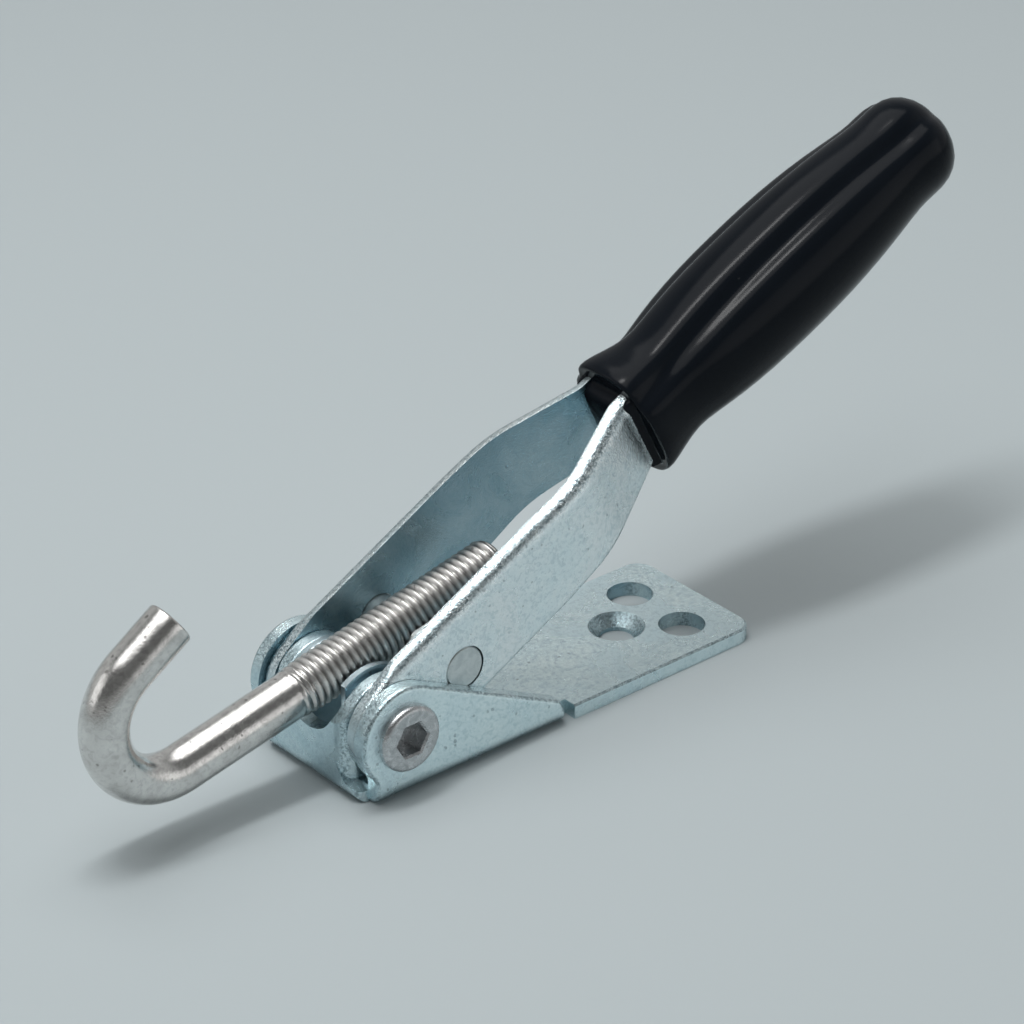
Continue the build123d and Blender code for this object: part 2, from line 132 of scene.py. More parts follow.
# %% [markdown]
# ## Shared effects
# Three effects turn up on every plated piece: a fine crystalline grain, cloudy patches left
# by the plating bath, and small specks and pits.  They could be painted on an image, but a
# node group with its sizes as inputs needs no unwrapping and serves several finishes.  They
# read Object coordinates, which are metres here: a scale of 2000 gives features about half a
# millimetre wide.

# %% Helpers for shader groups
FLOAT = "NodeSocketFloat"


def start_group(name, inputs, outputs):
    """Starts a shader group: returns its tree and its input and output nodes."""
    group = bpy.data.node_groups.new(name, "ShaderNodeTree")
    for label, kind, value in inputs:
        socket = group.interface.new_socket(name=label, in_out="INPUT", socket_type=kind)
        socket.default_value = value
    for label, kind in outputs:
        group.interface.new_socket(name=label, in_out="OUTPUT", socket_type=kind)
    return group, group.nodes.new("NodeGroupInput"), group.nodes.new("NodeGroupOutput")


def use_group(tree, group, **inputs):
    """Places a shader group in a material with its own values."""
    node = tree.nodes.new("ShaderNodeGroup")
    node.node_tree = group
    for name, value in inputs.items():
        node.inputs[name].default_value = value
    return node


print("helpers for shader groups are ready")

# %% Grain
def make_grain():
    group, given, result = start_group(
        "fine_grain",
        [("Scale", FLOAT, 2600.0), ("Contrast", FLOAT, 1.0)],
        [("Grain", FLOAT)],
    )
    place = add_node(group, "ShaderNodeTexCoord")
    fine = add_node(group, "ShaderNodeTexNoise", Vector=place.outputs["Object"],
                    Scale=given.outputs["Scale"], Detail=3.0, Roughness=0.65)
    centred = combine(group, "SUBTRACT", fine.outputs["Fac"], 0.5)
    raised = combine(group, "MULTIPLY", centred, given.outputs["Contrast"])
    group.links.new(combine(group, "ADD", raised, 0.5), result.inputs["Grain"])
    return group


grain_group = make_grain()
print("made the group", grain_group.name)

# %% Clouds
def make_clouds():
    group, given, result = start_group(
        "bath_clouds",
        [("Scale", FLOAT, 90.0), ("Softness", FLOAT, 0.2)],
        [("Clouds", FLOAT)],
    )
    place = add_node(group, "ShaderNodeTexCoord")
    noise = add_node(group, "ShaderNodeTexNoise", Vector=place.outputs["Object"],
                     Scale=given.outputs["Scale"], Detail=5.0, Roughness=0.6, Distortion=0.6)
    node = group.nodes.new("ShaderNodeMapRange")
    node.interpolation_type = "SMOOTHSTEP"
    group.links.new(noise.outputs["Fac"], node.inputs["Value"])
    for label, operation in (("From Min", "SUBTRACT"), ("From Max", "ADD")):
        limit = combine(group, operation, 0.5, given.outputs["Softness"])
        group.links.new(limit, node.inputs[label])
    group.links.new(node.outputs["Result"], result.inputs["Clouds"])
    return group


cloud_group = make_clouds()
print("made the group", cloud_group.name)

# %% Specks
SPECK_BEND = (0.0006, 0.0006, 0.0006)  # how far noise pulls the round cells out of shape
SPECK_BLUR = 0.08  # width of a speck's soft rim, as a share of its cell


def combine_vectors(tree, operation, *vectors):
    """One step of vector arithmetic.  Its node has a Vector and a Value output."""
    node = tree.nodes.new("ShaderNodeVectorMath")
    node.operation = operation
    for socket, vector in zip(node.inputs, vectors):
        feed(tree, socket, vector)
    return node


def make_specks():
    group, given, result = start_group(
        "specks",
        [("Scale", FLOAT, 700.0), ("Share", FLOAT, 0.1), ("Size", FLOAT, 0.25)],
        [("Specks", FLOAT)],
    )
    place = add_node(group, "ShaderNodeTexCoord")
    bend = add_node(group, "ShaderNodeTexNoise", Vector=place.outputs["Object"], Scale=1500.0)
    shift = combine_vectors(group, "MULTIPLY_ADD", bend.outputs["Color"], SPECK_BEND,
                            place.outputs["Object"])
    cells = add_node(group, "ShaderNodeTexVoronoi", Vector=shift.outputs["Vector"],
                     Scale=given.outputs["Scale"])
    parts = add_node(group, "ShaderNodeSeparateColor", Color=cells.outputs["Color"])
    chosen = combine(group, "LESS_THAN", parts.outputs["Red"], given.outputs["Share"])
    size = combine(group, "MULTIPLY", parts.outputs["Green"], given.outputs["Size"])
    gap = combine(group, "SUBTRACT", size, cells.outputs["Distance"])
    dot = stretch(group, gap, 0.0, SPECK_BLUR)
    group.links.new(combine(group, "MULTIPLY", dot, chosen), result.inputs["Specks"])
    return group


speck_group = make_specks()
print("made the group", speck_group.name)

# %% [markdown]
# A fourth group gives two masks.  The first is for painted shade: faces turned to the middle
# plane or to the front are drawn darker and bluer, as if less light reached them.  Rounded
# edges are rubbed and grainy: there the normal is far from all three axes.  Both masks come
# from the normal, so no image has to be painted and the masks follow any change of shape.

# %% Masks for painted shade and rubbed edges
FRONT_SHADE_SHARE = 0.45  # painted shade is weaker on faces to the front than on inner ones


def make_face_masks():
    group, _, result = start_group("face_masks", [], [("PaintedShade", FLOAT), ("Edges", FLOAT)])
    place = add_node(group, "ShaderNodeTexCoord")
    side = add_node(group, "ShaderNodeSeparateXYZ", Vector=place.outputs["Object"]).outputs["Y"]
    normal = add_node(group, "ShaderNodeSeparateXYZ", Vector=place.outputs["Normal"])
    # Painted shade: faces turned to the middle plane, and less so those to the front, are darkened
    # as if less light reached them.
    turned = combine(group, "MULTIPLY", combine(group, "SIGN", side), normal.outputs["Y"])
    front = stretch(group, normal.outputs["X"], -0.75, -0.97, 0.0, FRONT_SHADE_SHARE)
    inner = stretch(group, turned, -0.45, -0.95)
    group.links.new(combine(group, "MAXIMUM", inner, front), result.inputs["PaintedShade"])
    squareness = 0.0
    for label in "XYZ":
        size = combine(group, "ABSOLUTE", normal.outputs[label])
        squareness = combine(group, "MAXIMUM", squareness, size)
    group.links.new(stretch(group, squareness, 0.97, 0.82), result.inputs["Edges"])
    return group


mask_group = make_face_masks()
print("node groups:", [group.name for group in bpy.data.node_groups])

# %% [markdown]
# ## Zinc plated sheet
# The folded base and the lever arms are cold rolled sheet, zinc plated and blue passivated:
# a pale, slightly teal grey with a satin gloss.  Rolling leaves a faint mottle, the bath
# leaves clouds and stains, and handling leaves pits and rubbed edges.  Faces turned inwards
# or to the front get a painted shade, darker and bluer.  The colour is built as a painter
# would, from the plain plating up, one thin layer over the other.

# %% Helpers for finishes
def start_material(name, metallic):
    """Starts a material: returns it, its tree and its Principled shader."""
    material = bpy.data.materials.new(name)
    material.use_nodes = True
    shader = material.node_tree.nodes["Principled BSDF"]
    shader.inputs["Metallic"].default_value = metallic
    return material, material.node_tree, shader


def lay_colours(tree, colour, *layers):
    """Lays colours over one another.  A layer is its mask and its colour."""
    for mask, layer_colour in layers:
        colour = mix_colours(tree, mask, colour, layer_colour)
    return colour


def roughen(tree, shader, strength, distance, height):
    """Gives a shader fine relief through its normal."""
    bump = add_node(tree, "ShaderNodeBump", Strength=strength, Distance=distance, Height=height)
    tree.links.new(bump.outputs["Normal"], shader.inputs["Normal"])


def dress(material, *names):
    """Gives CAD nodes a finish; their meshes stay as they are."""
    for name in names:
        for slot in nodes[name].material_slots:
            slot.material = material
    print(material.name, "on", ", ".join(names))


print("helpers for finishes are ready")

# %% Zinc finish
MOTTLE, STAIN, DULL_GRAIN = (0.50, 0.68, 0.76, 1), (0.36, 0.50, 0.56, 1), (0.42, 0.56, 0.62, 1)
# The last colour on the next line is painted shade for faces turned inwards or to the front.
PIT, PAINTED_SHADE = (0.12, 0.18, 0.20, 1), (0.18, 0.33, 0.40, 1)
RUBBED_EDGE = (0.20, 0.28, 0.31, 1)


def zinc_finish(name, pale, deep, pit_share):
    material, tree, shader = start_material(name, 1.0)
    clouds = use_group(tree, cloud_group, Scale=70.0, Softness=0.28).outputs["Clouds"]
    mottle = use_group(tree, cloud_group, Scale=420.0, Softness=0.25).outputs["Clouds"]
    stains = use_group(tree, cloud_group, Scale=1100.0, Softness=0.12).outputs["Clouds"]
    grain = use_group(tree, grain_group, Scale=2600.0, Contrast=1.6).outputs["Grain"]
    coarse = use_group(tree, grain_group, Scale=1900.0, Contrast=2.2).outputs["Grain"]
    pits = use_group(tree, speck_group, Scale=900.0, Share=pit_share, Size=0.36).outputs["Specks"]
    masks = use_group(tree, mask_group)
    uneven = stretch(tree, clouds, 0.0, 1.0, 0.88, 0.62)
    rubbing = stretch(tree, coarse, 0.35, 0.75, 0.25, 0.9)
    colour = lay_colours(
        tree, mix_colours(tree, clouds, deep, pale),
        (stretch(tree, mottle, 0.0, 1.0, 0.0, 0.18), MOTTLE),
        (stretch(tree, stains, 0.6, 1.0, 0.0, 0.30), STAIN),
        (stretch(tree, grain, 0.1, 0.7, 0.22, 0.0), DULL_GRAIN),
        (combine(tree, "MULTIPLY", pits, 0.4), PIT),
        # Painted shade on faces turned inwards or to the front, of uneven strength.
        (combine(tree, "MULTIPLY", masks.outputs["PaintedShade"], uneven), PAINTED_SHADE),
        (combine(tree, "MULTIPLY", masks.outputs["Edges"], rubbing), RUBBED_EDGE),
    )
    tree.links.new(colour, shader.inputs["Base Color"])
    tree.links.new(stretch(tree, clouds, 0.0, 1.0, 0.31, 0.23), shader.inputs["Roughness"])
    roughen(tree, shader, 0.8, 0.00009, combine(tree, "SUBTRACT", grain, pits))
    return material


base_zinc = zinc_finish("base_zinc", (0.86, 0.99, 1.0, 1), (0.74, 0.91, 0.96, 1), 0.07)
lever_zinc = zinc_finish("lever_zinc", (0.96, 1.0, 1.0, 1), (0.86, 0.98, 1.0, 1), 0.08)
dress(base_zinc, "base_plate")
dress(lever_zinc, "near_lever_arm", "far_lever_arm")

# %% [markdown]
# ## Turned and plated steel
# The pivot screws, their nuts and the swivel block are machined from bar, so their relief is
# finer than the sheet's and their colour more neutral.  Rings left by the lathe would be too
# fine to see at this size, so the same clouds, grain and pits serve again.

# %% Turned steel finish
TURNED_PIT = (0.2, 0.2, 0.2, 1)


def turned_finish(name, pale, deep, smooth, rough):
    material, tree, shader = start_material(name, 1.0)
    clouds = use_group(tree, cloud_group, Scale=700.0, Softness=0.4).outputs["Clouds"]
    grain = use_group(tree, grain_group, Scale=4200.0, Contrast=1.0).outputs["Grain"]
    pits = use_group(tree, speck_group, Scale=620.0, Share=0.06, Size=0.34).outputs["Specks"]
    colour = lay_colours(tree, mix_colours(tree, clouds, deep, pale),
                         (combine(tree, "MULTIPLY", pits, 0.5), TURNED_PIT))
    tree.links.new(colour, shader.inputs["Base Color"])
    tree.links.new(stretch(tree, clouds, 0.0, 1.0, rough, smooth), shader.inputs["Roughness"])
    roughen(tree, shader, 0.8, 0.00005, grain)
    return material


screw_steel = turned_finish(
    "screw_steel", (0.70, 0.71, 0.72, 1), (0.32, 0.34, 0.35, 1), 0.22, 0.34)
nut_steel = turned_finish(
    "nut_steel", (0.60, 0.71, 0.75, 1), (0.46, 0.57, 0.62, 1), 0.26, 0.36)
block_steel = turned_finish(
    "block_steel", (0.70, 0.75, 0.75, 1), (0.48, 0.54, 0.55, 1), 0.30, 0.40)
dress(screw_steel, "near_pivot_screw", "far_pivot_screw")
dress(nut_steel, "near_pivot_nut", "far_pivot_nut")
dress(block_steel, "swivel_block")

# %% [markdown]
# ## The hook bolt
# A length of bright steel bar, threaded at one end and bent to a hook at the other.  Its
# thread is a real helix: a rounded groove profile is spun round the bolt's axis while it
# climbs one pitch a turn.  The hook is the end circle of the shank, extruded straight, turned
# step by step round the centre of the bend, and extruded again for the tip.

# %% Sizes of the hook bolt
LEVER_REST = radians(27.6)
BOLT_REST = radians(11.9)
PIVOT_HEIGHT = 12.5 * MM
SWIVEL_REACH, SWIVEL_DROP, BOLT_OFFSET = 17.2 * MM, 1.5 * MM, 5.3 * MM
THREAD_RADIUS, SHANK_RADIUS, ROOT_RADIUS = 5.0 * MM, 4.55 * MM, 4.38 * MM
THREAD_PITCH = 1.55 * MM
THREAD_AHEAD, THREAD_BEHIND, SHANK_AHEAD = 28.6 * MM, 20.0 * MM, 53.3 * MM
HOOK_RADIUS, HOOK_BEND, HOOK_TIP = 13.2 * MM, radians(159), 11.3 * MM

pivot = Vector((0, 0, PIVOT_HEIGHT))
along_arm = Vector((cos(LEVER_REST), 0, sin(LEVER_REST)))
across_arm = Vector((-along_arm.z, 0, along_arm.x))
along_bolt = Vector((cos(BOLT_REST), 0, sin(BOLT_REST)))
across_bolt = Vector((-along_bolt.z, 0, along_bolt.x))
bolt_foot = pivot + along_arm * SWIVEL_REACH - across_arm * SWIVEL_DROP + across_bolt * BOLT_OFFSET
print("bolt foot at", [round(value / MM, 2) for value in bolt_foot])

# %% [markdown]
# A built shape becomes a piece in the same way each time.  Its doubles are merged and its
# normals made to point outwards, it is shaded smooth and given its finish, it is parented to
# the body that carries it, and the solids it stands for are hidden.  Its object stays at the
# origin, unturned, with its place in its mesh, so that patterns on Object coordinates keep
# their place too.

# %% From a bmesh to a piece
def finish_piece(name, mesh_builder, body, material, replaces):
    """Turns a bmesh into a smooth-shaded object that rides on a body."""
    bmesh.ops.remove_doubles(mesh_builder, verts=mesh_builder.verts, dist=1e-7)
    bmesh.ops.recalc_face_normals(mesh_builder, faces=mesh_builder.faces)
    mesh = bpy.data.meshes.new(name)
    mesh_builder.to_mesh(mesh)
    mesh_builder.free()
    mesh.shade_smooth()
    piece = bpy.data.objects.new(name, mesh)
    bpy.context.scene.collection.objects.link(piece)
    piece.data.materials.append(material)
    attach(piece, body)
    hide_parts(*replaces)
    print(name, "has", len(mesh.polygons), "faces")
    return piece


print("the helper for pieces is ready")

# %% [markdown]
# The thread starts as a short wavy line of edges, one pitch long, with a rounded crest and a
# rounded root.  `bmesh.ops.spin` takes a shift per step, which turns a lathe into a screw.
# The spare turns are cut off square at both ends with `bisect_plane`, then the points near
# the ends are drawn in: the last turns run out into the shank, and the free end is chamfered.

# %% Thread
THREAD_STEPS, THREAD_POINTS = 60, 10
SPARE_TURNS = 3
CREST_POWER = 0.8  # below 1, the crest is wider than the root
RUN_OUT, RUN_OUT_POWER = 5.0 * MM, 0.6
END_CHAMFER = 1.0 * MM


def thread_radius(share):
    """Radius of the thread's profile at a share of its pitch: crest at 0, root at a half."""
    wave = 0.5 + 0.5 * cos(2 * pi * share)
    return ROOT_RADIUS + (THREAD_RADIUS - ROOT_RADIUS) * wave ** CREST_POWER


bolt = bmesh.new()
length = THREAD_AHEAD + THREAD_BEHIND
shares = [index / THREAD_POINTS for index in range(THREAD_POINTS + 1)]
profile = [(thread_radius(share), 0, (share - 1) * THREAD_PITCH) for share in shares]
points = [bolt.verts.new(place) for place in profile]
edges = [bolt.edges.new(pair) for pair in zip(points, points[1:])]
turns = int(length / THREAD_PITCH) + SPARE_TURNS
bmesh.ops.spin(bolt, geom=points + edges, cent=(0, 0, 0), axis=(0, 0, 1), angle=2 * pi * turns,
               dvec=(0, 0, THREAD_PITCH / THREAD_STEPS), steps=THREAD_STEPS * turns)
bmesh.ops.remove_doubles(bolt, verts=bolt.verts, dist=1e-6)
for height, outward in ((THREAD_PITCH, -1), (THREAD_PITCH + length, 1)):
    everything = bolt.verts[:] + bolt.edges[:] + bolt.faces[:]
    bmesh.ops.bisect_plane(bolt, geom=everything, dist=1e-8, plane_co=(0, 0, height),
                           plane_no=(0, 0, outward), clear_outer=True)
bmesh.ops.translate(bolt, verts=bolt.verts, vec=(0, 0, -THREAD_PITCH))
for point in bolt.verts:
    radius = point.co.xy.length
    chamfered = min(radius, THREAD_RADIUS - END_CHAMFER + point.co.z)
    run_out = max(0.0, min(1.0, (length - point.co.z) / RUN_OUT))
    target = SHANK_RADIUS + (chamfered - SHANK_RADIUS) * run_out ** RUN_OUT_POWER
    point.co.xy *= target / radius
free_loop = [edge for edge in bolt.edges if edge.is_boundary and edge.verts[0].co.z < MM]
bmesh.ops.edgeloop_fill(bolt, edges=free_loop)
print("thread:", turns - SPARE_TURNS, "turns,", len(bolt.faces), "faces")

# %% [markdown]
# The thread's end is an uneven loop, so a plain circle is bridged to it first, and all rings
# of the shank and the hook grow out of that circle.  The bend could follow a curve, but
# turning each new ring by the same small angle gives an even bend with clean rings.  In this
# first position the bolt stands on end: its +Z runs along the shank towards the hook.

# %% Shank and hook
JOINT_LENGTH, BAR_SEGMENTS = 0.8 * MM, 64
SHANK_STEPS, BEND_STEPS, TIP_STEPS = 6, 48, 4
TIP_BEVEL = 0.6 * MM


def extrude_loop(builder, edges, steps, move):
    """Extrudes an open loop of edges step by step; move(points) places each new ring."""
    for _ in range(steps):
        grown = bmesh.ops.extrude_edge_only(builder, edges=edges)["geom"]
        edges = [item for item in grown if isinstance(item, bmesh.types.BMEdge)]
        move([item for item in grown if isinstance(item, bmesh.types.BMVert)])
    return edges


shank_loop = [edge for edge in bolt.edges if edge.is_boundary]
ring = bmesh.ops.create_circle(bolt, segments=BAR_SEGMENTS, radius=SHANK_RADIUS,
                               matrix=Matrix.Translation((0, 0, length + JOINT_LENGTH)))["verts"]
ring_edges = list({edge for point in ring for edge in point.link_edges})
bmesh.ops.bridge_loops(bolt, edges=shank_loop + ring_edges)
straight = SHANK_AHEAD - THREAD_AHEAD - JOINT_LENGTH
edges = extrude_loop(bolt, ring_edges, SHANK_STEPS, lambda points: bmesh.ops.translate(
    bolt, verts=points, vec=(0, 0, straight / SHANK_STEPS)))
bend_turn = Matrix.Rotation(HOOK_BEND / BEND_STEPS, 3, "Y")
bend_centre = (HOOK_RADIUS, 0, THREAD_BEHIND + SHANK_AHEAD)
edges = extrude_loop(bolt, edges, BEND_STEPS, lambda points: bmesh.ops.rotate(
    bolt, verts=points, cent=bend_centre, matrix=bend_turn))
tip_way = Vector((sin(HOOK_BEND), 0, cos(HOOK_BEND)))
edges = extrude_loop(bolt, edges, TIP_STEPS, lambda points: bmesh.ops.translate(
    bolt, verts=points, vec=tip_way * HOOK_TIP / TIP_STEPS))
tip_face = bmesh.ops.edgeloop_fill(bolt, edges=edges)["faces"]
bmesh.ops.bevel(bolt, geom=tip_face[0].edges[:], offset=TIP_BEVEL, segments=4, profile=0.5,
                affect="EDGES", material=-1)
print("bolt with shank and hook:", len(bolt.faces), "faces")

# %% [markdown]
# The finished bolt is turned into its place: its own +Z becomes the direction towards the
# hook, and its +X, on which the bend's centre lies, points up from the bolt.

# %% Place the bolt
to_hook = -along_bolt
thread_end = bolt_foot + along_bolt * THREAD_BEHIND
turn = Matrix((across_bolt, to_hook.cross(across_bolt), to_hook)).transposed().to_4x4()
bmesh.ops.transform(bolt, matrix=Matrix.Translation(thread_end) @ turn, verts=bolt.verts)
print("thread ends at", [round(value / MM, 2) for value in thread_end])

# %% [markdown]
# The bolt is drawn bright, with a few stains and pits.  The thread's root is darkened, partly
# for oil and dirt and partly as painted shade in the groove.  The dark could be painted along
# the helix, but the distance from the bolt's axis already tells root from crest: it is the
# length of the cross product of the bolt's direction and the way from a point on its axis.

# %% Bright steel finish
BOLT_STAIN, BOLT_PIT = (0.36, 0.35, 0.34, 1), (0.20, 0.19, 0.18, 1)
# The last colour here darkens the thread's root: partly oil, partly painted shade.
OILY_SHADED_ROOT = (0.16, 0.158, 0.152, 1)
OIL_AND_SHADE_FULL, OIL_AND_SHADE_END = 0.08 * MM, 0.45 * MM  # heights above the root


def bright_finish(name, pale, deep):
    material, tree, shader = start_material(name, 1.0)
    clouds = use_group(tree, cloud_group, Scale=180.0, Softness=0.3).outputs["Clouds"]
    stains = use_group(tree, cloud_group, Scale=900.0, Softness=0.2).outputs["Clouds"]
    grain = use_group(tree, grain_group, Scale=2600.0, Contrast=1.4).outputs["Grain"]
    pits = use_group(tree, speck_group, Scale=900.0, Share=0.25, Size=0.42).outputs["Specks"]
    place = add_node(tree, "ShaderNodeTexCoord").outputs["Object"]
    from_axis = combine_vectors(tree, "SUBTRACT", place, bolt_foot).outputs["Vector"]
    across = combine_vectors(tree, "CROSS_PRODUCT", from_axis, along_bolt).outputs["Vector"]
    radius = combine_vectors(tree, "LENGTH", across).outputs["Value"]
    along = combine_vectors(tree, "DOT_PRODUCT", place, along_bolt).outputs["Value"]
    thread_start = bolt_foot.dot(along_bolt) - THREAD_AHEAD
    on_thread = stretch(tree, along, thread_start, thread_start + RUN_OUT)
    root = stretch(tree, radius, ROOT_RADIUS + OIL_AND_SHADE_FULL, ROOT_RADIUS + OIL_AND_SHADE_END, 0.70, 0.0)
    colour = lay_colours(
        tree, mix_colours(tree, clouds, deep, pale),
        (stretch(tree, stains, 0.4, 1.0, 0.0, 0.35), BOLT_STAIN),
        (combine(tree, "MULTIPLY", pits, 0.6), BOLT_PIT),
        # Darkens the thread's root: partly oil, partly painted shade.
        (combine(tree, "MULTIPLY", root, on_thread), OILY_SHADED_ROOT),
    )
    tree.links.new(colour, shader.inputs["Base Color"])
    polish = stretch(tree, clouds, 0.0, 1.0, 0.23, 0.16)
    dulled = combine(tree, "MULTIPLY", on_thread, 0.14)
    tree.links.new(combine(tree, "ADD", polish, dulled), shader.inputs["Roughness"])
    roughen(tree, shader, 0.6, 0.00004, grain)
    return material


bright_steel = bright_finish("bright_steel", (0.78, 0.77, 0.75, 1), (0.62, 0.61, 0.59, 1))
finish_piece("threaded_hook_bolt", bolt, "bolt", bright_steel, ["hook_bolt"])

# %% [markdown]
# ## The grip
# The grip is a dipped plastic sleeve: swollen in the middle, necked at both ends, with a
# soft channel between two ridges along each upper flank.  A half outline is spun into a
# lathe shape, then every ring is pressed into its section: squarish at the mouth, round
# further on.

# %% Sizes of the grip
GRIP_START, GRIP_RISE, GRIP_DROOP = 73.8 * MM, 0.3 * MM, radians(2.1)
CHANNEL_DEPTH, CHANNEL_WIDTH = 1.2 * MM, 2.1 * MM
TIP_SAG, SAG_START = 0.5 * MM, 70.0 * MM
SAG_LENGTH = 17 * MM
SQUARENESS, SQUARE_LENGTH = 0.6, 12 * MM
FULL_CHANNEL_SIZE = 10 * MM  # where the grip's half height is less, the channel is shallower
# Distance from the mouth, half width and half height in millimetres, and the channel's
# angle from the top in degrees.
GRIP_STATIONS = (
    (0.0, 10.7, 12.4, 47), (1.5, 11.2, 12.8, 46), (5.5, 10.6, 11.8, 44),
    (10.5, 10.2, 10.7, 41), (15.0, 11.2, 11.4, 38), (21.0, 12.3, 12.4, 36),
    (29.0, 13.05, 13.05, 34), (38.0, 13.2, 13.2, 33), (47.0, 13.15, 13.15, 33),
    (55.0, 12.75, 12.75, 33), (63.0, 12.0, 12.0, 34), (70.0, 11.0, 11.0, 36),
    (74.5, 10.5, 10.5, 38), (79.0, 10.85, 10.85, 38), (82.5, 9.9, 9.9, 36),
    (85.1, 7.65, 7.65, 34), (87.2, 3.5, 3.5, 34),
)
grip_mouth = pivot + along_arm * GRIP_START + across_arm * GRIP_RISE
along_grip = along_arm * cos(GRIP_DROOP) - across_arm * sin(GRIP_DROOP)
across_grip = Vector((-along_grip.z, 0, along_grip.x))
print("grip mouth at", [round(value / MM, 2) for value in grip_mouth])

# %% Grip rings
GRIP_SEGMENTS = 96

grip = bmesh.new()
outline = [(0, half_height, distance) for distance, _, half_height, _ in GRIP_STATIONS]
points = [grip.verts.new(Vector(place) * MM) for place in outline]
edges = [grip.edges.new(pair) for pair in zip(points, points[1:])]
bmesh.ops.spin(grip, geom=points + edges, cent=(0, 0, 0), axis=(0, 0, 1), angle=2 * pi,
               steps=GRIP_SEGMENTS, use_merge=True)


def press_section(point, half_width, half_height, channel_angle):
    """Moves a point of a round ring to the grip's pressed section."""
    direction = point.co.xy.normalized()
    power = 2 / (2.0 + SQUARENESS * exp(-((point.co.z / SQUARE_LENGTH) ** 2)))
    x = half_width * abs(direction.x) ** power * (1 if direction.x > 0 else -1)
    y = half_height * abs(direction.y) ** power * (1 if direction.y > 0 else -1)
    radius = (x * x + y * y) ** 0.5
    from_channel = radius * (atan2(abs(x), y) - channel_angle)
    depth = CHANNEL_DEPTH * min(1, half_height / FULL_CHANNEL_SIZE)
    sunk = radius - depth * exp(-((from_channel / CHANNEL_WIDTH) ** 2))
    point.co.xy = Vector((x, y)) * sunk / radius
    point.co.y -= TIP_SAG * max(0, (point.co.z - SAG_START) / SAG_LENGTH) ** 2


sections = {round(distance, 2): (half_width * MM, half_height * MM, radians(angle))
            for distance, half_width, half_height, angle in GRIP_STATIONS}
for point in grip.verts:
    press_section(point, *sections[round(point.co.z / MM, 2)])
print("grip rings:", len(GRIP_STATIONS), "with", GRIP_SEGMENTS, "points each")

# %% [markdown]
# The tip is filled and poked, which makes a fan of triangles round its centre.  At the mouth,
# insets build a thick rim and a hollow, so that the arms are seen to go into the sleeve and
# not just to meet its end.

# %% Grip ends
GRIP_MIDDLE = 50 * MM
LIP_WIDTH, LIP_RISE, RIM_WIDTH = 0.5 * MM, 0.35 * MM, 1.2 * MM
HOLLOW_EDGE, EDGE_DROP, MOUTH_DEPTH = 0.1 * MM, 0.3 * MM, 3.2 * MM
MOUTH_HALF_WIDTH, MOUTH_HALF_HEIGHT = 7.4 * MM, 8.6 * MM

end_edges = [edge for edge in grip.edges if edge.is_boundary]
far_edges = [edge for edge in end_edges if edge.verts[0].co.z > GRIP_MIDDLE]
near_edges = [edge for edge in end_edges if edge.verts[0].co.z < GRIP_MIDDLE]
tip = bmesh.ops.edgeloop_fill(grip, edges=far_edges)["faces"]
bmesh.ops.poke(grip, faces=tip)
mouth = bmesh.ops.edgeloop_fill(grip, edges=near_edges)["faces"]
bmesh.ops.inset_region(grip, faces=mouth, thickness=LIP_WIDTH, depth=LIP_RISE)
bmesh.ops.inset_region(grip, faces=mouth, thickness=RIM_WIDTH, depth=0)
for point in mouth[0].verts:
    direction = point.co.xy.normalized()
    widest = max(abs(direction.x) / MOUTH_HALF_WIDTH, abs(direction.y) / MOUTH_HALF_HEIGHT)
    point.co.xy = direction / widest
for depth in (EDGE_DROP, MOUTH_DEPTH):
    bmesh.ops.inset_region(grip, faces=mouth, thickness=HOLLOW_EDGE, depth=-depth)
turn = Matrix((Vector((0, 1, 0)), across_grip, along_grip)).transposed().to_4x4()
bmesh.ops.transform(grip, matrix=Matrix.Translation(grip_mouth) @ turn, verts=grip.verts)
print("grip:", len(grip.faces), "faces before smoothing")

# %% [markdown]
# The dipped plastic is a very dark blue black, glossy but not like glass: a low specular level
# and a little roughness keep its reflections soft.  A few grains of dust lie on it.  One level
# of subdivision rounds the rings; it could be set in the mesh, but a modifier stays editable.

# %% Plastic finish
DUST = (0.2, 0.2, 0.2, 1)


def grip_finish(name, pale, deep):
    material, tree, shader = start_material(name, 0.0)
    shader.inputs["Specular IOR Level"].default_value = 0.09
    clouds = use_group(tree, cloud_group, Scale=60.0, Softness=0.35).outputs["Clouds"]
    grain = use_group(tree, grain_group, Scale=1400.0, Contrast=1.0).outputs["Grain"]
    dust = use_group(tree, speck_group, Scale=380.0, Share=0.012, Size=0.2).outputs["Specks"]
    colour = lay_colours(tree, mix_colours(tree, clouds, deep, pale),
                         (combine(tree, "MULTIPLY", dust, 0.35), DUST))
    tree.links.new(colour, shader.inputs["Base Color"])
    tree.links.new(stretch(tree, clouds, 0.0, 1.0, 0.16, 0.20), shader.inputs["Roughness"])
    roughen(tree, shader, 0.12, 0.00003, grain)
    return material


black_plastic = grip_finish(
    "black_plastic", (0.0060, 0.0082, 0.0115, 1), (0.0045, 0.0064, 0.0092, 1))
sleeve = finish_piece("dipped_grip", grip, "handle", black_plastic, ["grip"])
smoothing = sleeve.modifiers.new("smoothing", "SUBSURF")
smoothing.levels = 1
smoothing.render_levels = 1

# %% [markdown]
# ## Floor and light
# The latch lies on a plain grey sweep.  A large soft box hangs above it, and a small hot one
# just under it draws the thin highlights on the grip and the edges.  Two weak ones stand at
# the far side and in front.  The room is dim near the camera, which gives the bright metal
# its dark streaks, and pale behind.

# %% Floor
BACKDROP = (0.445, 0.497, 0.512, 1)

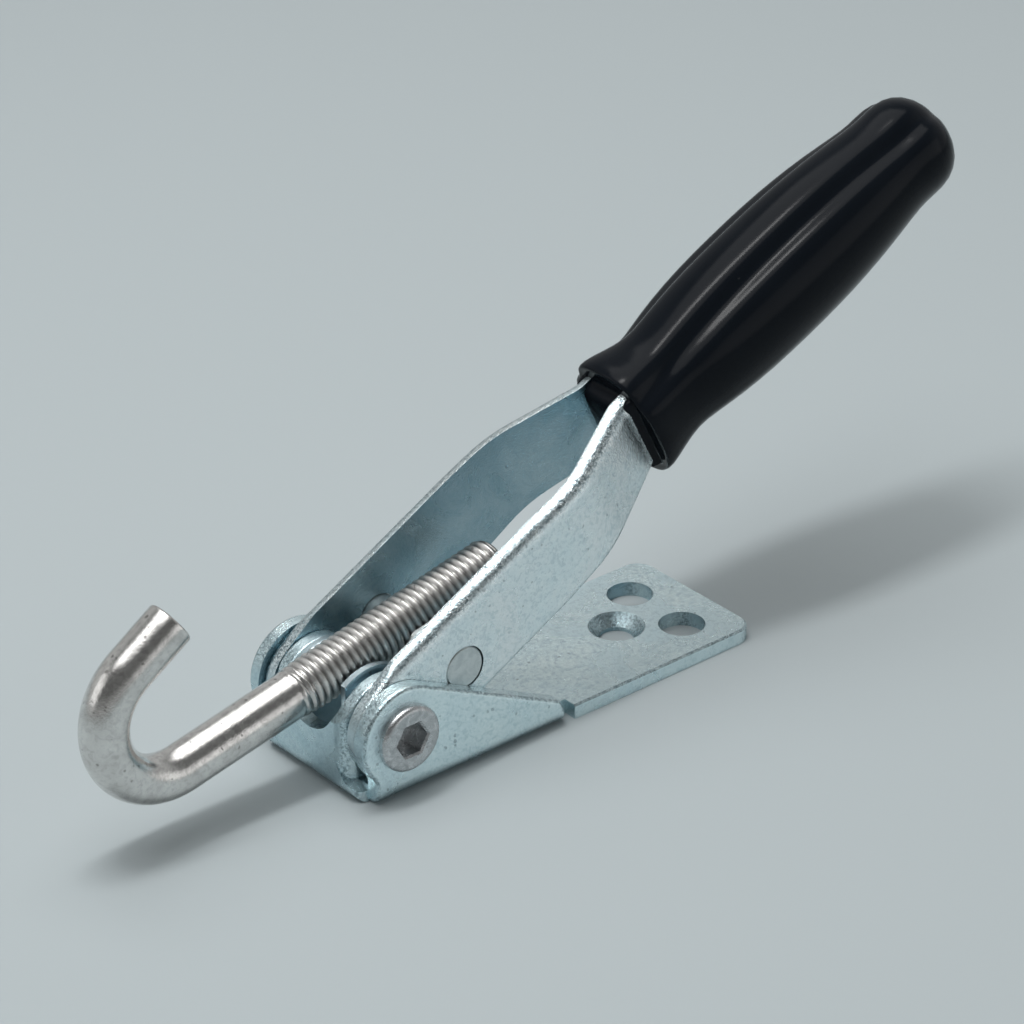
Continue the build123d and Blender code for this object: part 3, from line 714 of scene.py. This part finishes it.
floor_builder = bmesh.new()
bmesh.ops.create_grid(floor_builder, x_segments=1, y_segments=1, size=3.0)
floor_mesh = bpy.data.meshes.new("floor")
floor_builder.to_mesh(floor_mesh)
floor_builder.free()
floor = bpy.data.objects.new("floor", floor_mesh)
bpy.context.scene.collection.objects.link(floor)
paper, _, paper_shader = start_material("paper", 0.0)
paper_shader.inputs["Base Color"].default_value = BACKDROP
paper_shader.inputs["Roughness"].default_value = 0.9
floor.data.materials.append(paper)
print("floor of", paper.name)

# %% Lamps
def soft_box(name, place, target, width, depth, power):
    data = bpy.data.lights.new(name, "AREA")
    data.shape = "RECTANGLE"
    data.size, data.size_y = width, depth
    data.energy = power
    lamp = bpy.data.objects.new(name, data)
    aim = (Vector(target) - Vector(place)).to_track_quat("-Z", "Y")
    lamp.matrix_world = Matrix.Translation(place) @ aim.to_matrix().to_4x4()
    bpy.context.scene.collection.objects.link(lamp)


soft_box("overhead_box", (-0.02, 0.12, 0.95), (0.04, 0, 0.02), 1.1, 0.85, 5.6)
soft_box("hot_centre", (-0.09, 0.07, 0.93), (0.04, 0.07, 0.02), 0.11, 0.42, 3.0)
soft_box("side_box", (-0.85, 0.45, 0.45), (0.02, 0, 0.03), 0.6, 0.5, 0.8)
soft_box("front_box", (0.55, -1.00, 0.30), (0.03, 0, 0.02), 1.2, 0.55, 1.2)
print("lamps:", ", ".join(lamp.name for lamp in bpy.data.lights))

# %% [markdown]
# Bright metal shows what stands round it, so the room matters as much as the lamps.  An image
# of a studio could stand there, but two ramps by height do: one for the pale wall behind the
# latch and one for the dim side in front.  Where the room itself is seen, past the floor's
# edge, it has the floor's colour.

# %% Room
REAR = (0.634, 0.773, 0.0)  # the level direction from the latch to the pale wall
BLACK, SOFT_WHITE = (0.0, 0.0, 0.0, 1), (0.98, 1.0, 1.0, 1)

world = bpy.data.worlds.new("studio")
bpy.context.scene.world = world
world.use_nodes = True
tree = world.node_tree
background = tree.nodes["Background"]
direction = add_node(tree, "ShaderNodeTexCoord").outputs["Generated"]
height = add_node(tree, "ShaderNodeSeparateXYZ", Vector=direction).outputs["Z"]
facing = combine_vectors(tree, "DOT_PRODUCT", direction, REAR).outputs["Value"]
wall = stretch(tree, height, 0.55, 0.80, 0.47, 0.18)
dark_side = stretch(tree, height, 0.15, 0.35, 0.36, 0.13)
behind = stretch(tree, facing, -0.40, 0.20)
in_front = combine(tree, "SUBTRACT", 1.0, behind)
level = combine(tree, "ADD", combine(tree, "MULTIPLY", wall, behind),
                combine(tree, "MULTIPLY", dark_side, in_front))
room = mix_colours(tree, level, BLACK, SOFT_WHITE)
rays = add_node(tree, "ShaderNodeLightPath")
seen = mix_colours(tree, rays.outputs["Is Camera Ray"], room, BACKDROP)
tree.links.new(seen, background.inputs["Color"])
background.inputs["Strength"].default_value = 1.0
print("room:", world.name)
